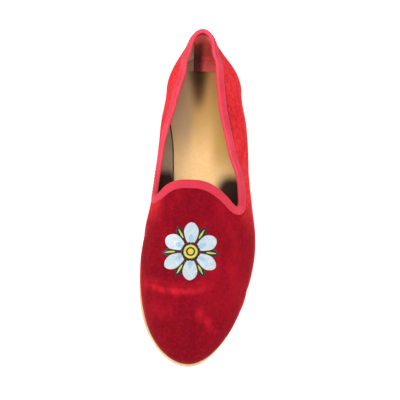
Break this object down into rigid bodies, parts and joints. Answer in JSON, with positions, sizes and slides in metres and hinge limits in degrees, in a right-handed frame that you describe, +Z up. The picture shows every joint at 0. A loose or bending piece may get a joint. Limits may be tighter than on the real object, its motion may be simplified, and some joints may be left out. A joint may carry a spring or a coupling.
{
  "type": "velvet loafer",
  "caption": "Low slip-on velvet loafer for the left foot, with a bound topline, a low stacked heel, a leather sole and an embroidered flower on the vamp.",
  "frame": {"origin": "middle of the bounding box's footprint, on the floor that the shoe stands on", "axes": "+Z up, +Y along the shoe from toe to heel, +X towards the lateral (outer) side"},
  "size_m": [0.0838, 0.258, 0.0649],
  "materials": {
    "velvet": "cotton velvet, short pile",
    "binding_tape": "ribbed grosgrain tape",
    "sock_leather": "smooth lining leather, satin",
    "grip_velvet": "short pile lining fabric",
    "sole_leather": "natural sole leather, waxed edge",
    "heel_leather": "stacked leather, waxed edge",
    "lift_rubber": "matt moulded rubber",
    "embroidery": "satin-stitched thread"
  },
  "bodies": {
    "root": {"upper": "velvet", "topline_binding": "binding_tape", "insole": "sock_leather", "heel_grip": "grip_velvet", "outsole": "sole_leather", "heel_stack": "heel_leather", "heel_top_lift": "lift_rubber", "vamp_motif": "embroidery"}
  },
  "joints": []
}
